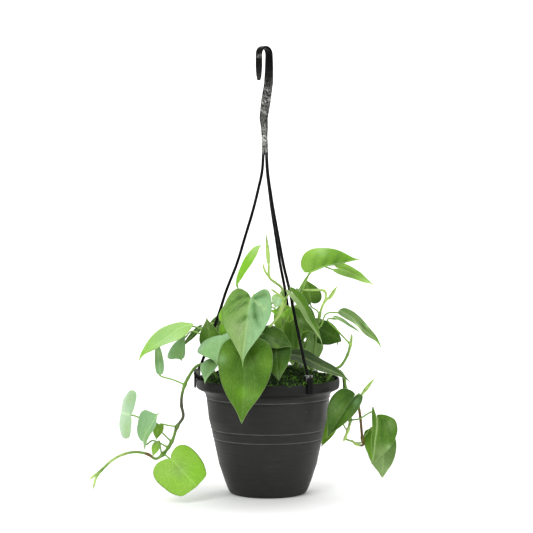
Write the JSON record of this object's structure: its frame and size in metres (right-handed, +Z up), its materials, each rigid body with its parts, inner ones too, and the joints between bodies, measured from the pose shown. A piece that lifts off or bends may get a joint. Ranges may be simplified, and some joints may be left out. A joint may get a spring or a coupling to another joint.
{
  "type": "potted heartleaf philodendron",
  "caption": "Heartleaf philodendron with trailing stems in a grooved plastic hanging pot, held by a three-strand clip-on hanger with a flat strap and hook.",
  "frame": {"origin": "centre of the pot's flat base", "axes": "+Z up along the pot's axis towards the hook, +X to the right and -Y towards the viewer who sees the largest leaves"},
  "size_m": [0.3509, 0.2186, 0.512],
  "materials": {
    "pot_plastic": "charcoal, semi-matte, fine moulded rings",
    "hanger_plastic": "black, glossy, stress-whitened where it bends",
    "soil": "dark, crumbly growing mix",
    "moss": "dark green, curly threads",
    "stem": "green to brown, smooth, waxy",
    "leaf_dark": "dark green, satin, paler below",
    "leaf_mature": "mid green, satin, paler below",
    "leaf_mint": "grey-green sheen, satin",
    "leaf_fresh": "fresh yellow-green, satin"
  },
  "bodies": {
    "root": {"pot": "pot_plastic", "hanger": "hanger_plastic", "soil": "soil", "moss": "moss", "stem_left_trailer": "stem", "stem_right_trailer": "stem", "stem_brown_trailer": "stem", "stem_crown_left": "stem", "stem_crown_front": "stem", "stem_crown_top": "stem", "stem_crown_right": "stem", "stem_right_shoot": "stem", "stem_right_riser": "stem", "stem_back_left": "stem", "stem_back_right": "stem", "leaf_front_upper": "leaf_mature", "leaf_front_lower": "leaf_mature", "leaf_front_dark": "leaf_dark", "leaf_front_tucked": "leaf_dark", "leaf_upright_bright": "leaf_fresh", "leaf_strand_narrow": "leaf_mature", "leaf_left_broad": "leaf_fresh", "leaf_left_mint": "leaf_mint", "leaf_left_rim": "leaf_mint", "leaf_left_dark": "leaf_dark", "leaf_left_hanging": "leaf_mature", "leaf_left_young_upper": "leaf_fresh", "leaf_left_young_lower": "leaf_fresh", "leaf_left_behind": "leaf_dark", "leaf_trail_narrow": "leaf_mint", "leaf_trail_edgewise": "leaf_mint", "leaf_trail_mint": "leaf_mint", "leaf_trail_oval": "leaf_mature", "leaf_trail_small": "leaf_mature", "leaf_trail_heart": "leaf_fresh", "leaf_right_fresh": "leaf_fresh", "leaf_right_behind": "leaf_fresh", "leaf_right_outer": "leaf_mature", "leaf_right_tucked": "leaf_dark", "leaf_right_narrow": "leaf_mature", "leaf_right_dark": "leaf_dark", "leaf_right_low_dark": "leaf_dark", "leaf_right_long": "leaf_dark", "leaf_young_pale": "leaf_fresh", "leaf_young_bright": "leaf_fresh", "leaf_crown_band": "leaf_fresh", "leaf_crown_centre": "leaf_fresh", "leaf_low_right": "leaf_dark", "leaf_low_behind": "leaf_fresh", "leaf_low_folded": "leaf_mature", "leaf_low_inner": "leaf_mature", "leaf_low_tip": "leaf_mature", "leaf_back_left_high": "leaf_mature", "leaf_back_left_low": "leaf_dark", "leaf_back_left_side": "leaf_mature", "leaf_back_left_small": "leaf_fresh", "leaf_back_right_high": "leaf_mature", "leaf_back_right_low": "leaf_dark", "leaf_back_right_side": "leaf_mature", "leaf_top_back": "leaf_fresh"}
  },
  "joints": []
}
